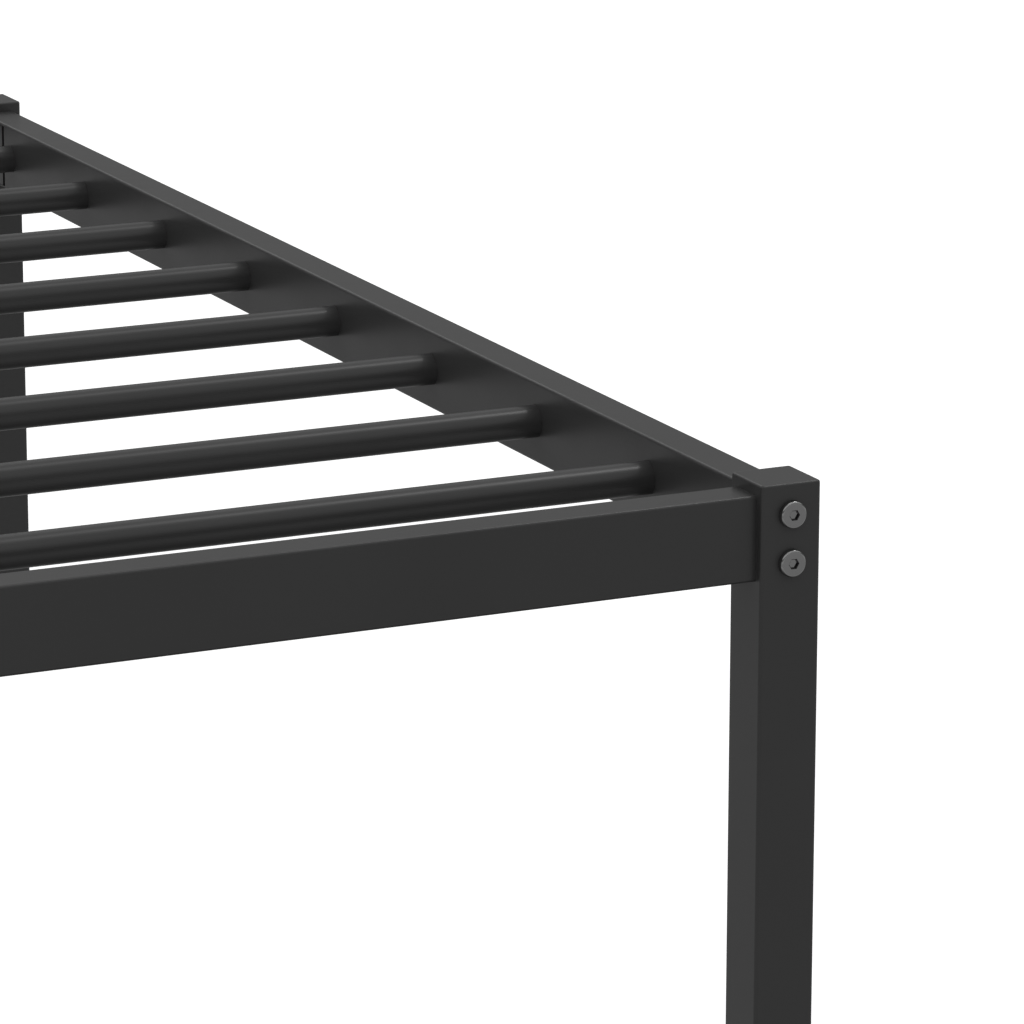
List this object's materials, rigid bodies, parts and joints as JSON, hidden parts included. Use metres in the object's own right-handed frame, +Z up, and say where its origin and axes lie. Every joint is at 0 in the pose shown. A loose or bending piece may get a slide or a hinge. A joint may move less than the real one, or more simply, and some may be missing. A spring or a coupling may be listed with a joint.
{
  "type": "metal bed frame",
  "caption": "Low metal bed frame with square posts, rectangular side and end rails and round tube slats, in dark powder coat.",
  "frame": {"origin": "on the floor, in the middle of the bed's footprint", "axes": "+Z up; +Y from the foot end to the head end, along the sleeper; +X across the bed, to the right seen from the foot end"},
  "size_m": [0.96, 2.0866, 0.35],
  "materials": {
    "powder_coat": "satin powder coat, dark grey",
    "bolt_steel": "dark zinc, satin",
    "glide_plastic": "matte black"
  },
  "bodies": {
    "root": {"foot_end_rail": "powder_coat", "foot_left_glide": "glide_plastic", "foot_left_lower_bolt": "bolt_steel", "foot_left_middle_bracket": "powder_coat", "foot_left_middle_lower_bolt": "bolt_steel", "foot_left_middle_upper_bolt": "bolt_steel", "foot_left_nut_block": "bolt_steel", "foot_left_post": "powder_coat", "foot_left_side_rail": "powder_coat", "foot_left_upper_bolt": "bolt_steel", "foot_right_glide": "glide_plastic", "foot_right_lower_bolt": "bolt_steel", "foot_right_middle_bracket": "powder_coat", "foot_right_middle_lower_bolt": "bolt_steel", "foot_right_middle_upper_bolt": "bolt_steel", "foot_right_nut_block": "bolt_steel", "foot_right_post": "powder_coat", "foot_right_side_rail": "powder_coat", "foot_right_upper_bolt": "bolt_steel", "head_end_rail": "powder_coat", "head_left_glide": "glide_plastic", "head_left_lower_bolt": "bolt_steel", "head_left_middle_bracket": "powder_coat", "head_left_middle_lower_bolt": "bolt_steel", "head_left_middle_upper_bolt": "bolt_steel", "head_left_nut_block": "bolt_steel", "head_left_post": "powder_coat", "head_left_side_rail": "powder_coat", "head_left_upper_bolt": "bolt_steel", "head_right_glide": "glide_plastic", "head_right_lower_bolt": "bolt_steel", "head_right_middle_bracket": "powder_coat", "head_right_middle_lower_bolt": "bolt_steel", "head_right_middle_upper_bolt": "bolt_steel", "head_right_nut_block": "bolt_steel", "head_right_post": "powder_coat", "head_right_side_rail": "powder_coat", "head_right_upper_bolt": "bolt_steel", "middle_left_glide": "glide_plastic", "middle_left_post": "powder_coat", "middle_right_glide": "glide_plastic", "middle_right_post": "powder_coat", "slat_01": "powder_coat", "slat_02": "powder_coat", "slat_03": "powder_coat", "slat_04": "powder_coat", "slat_05": "powder_coat", "slat_06": "powder_coat", "slat_07": "powder_coat", "slat_08": "powder_coat", "slat_09": "powder_coat", "slat_10": "powder_coat", "slat_11": "powder_coat", "slat_12": "powder_coat", "slat_13": "powder_coat", "slat_14": "powder_coat", "slat_15": "powder_coat", "slat_16": "powder_coat"}
  },
  "joints": []
}
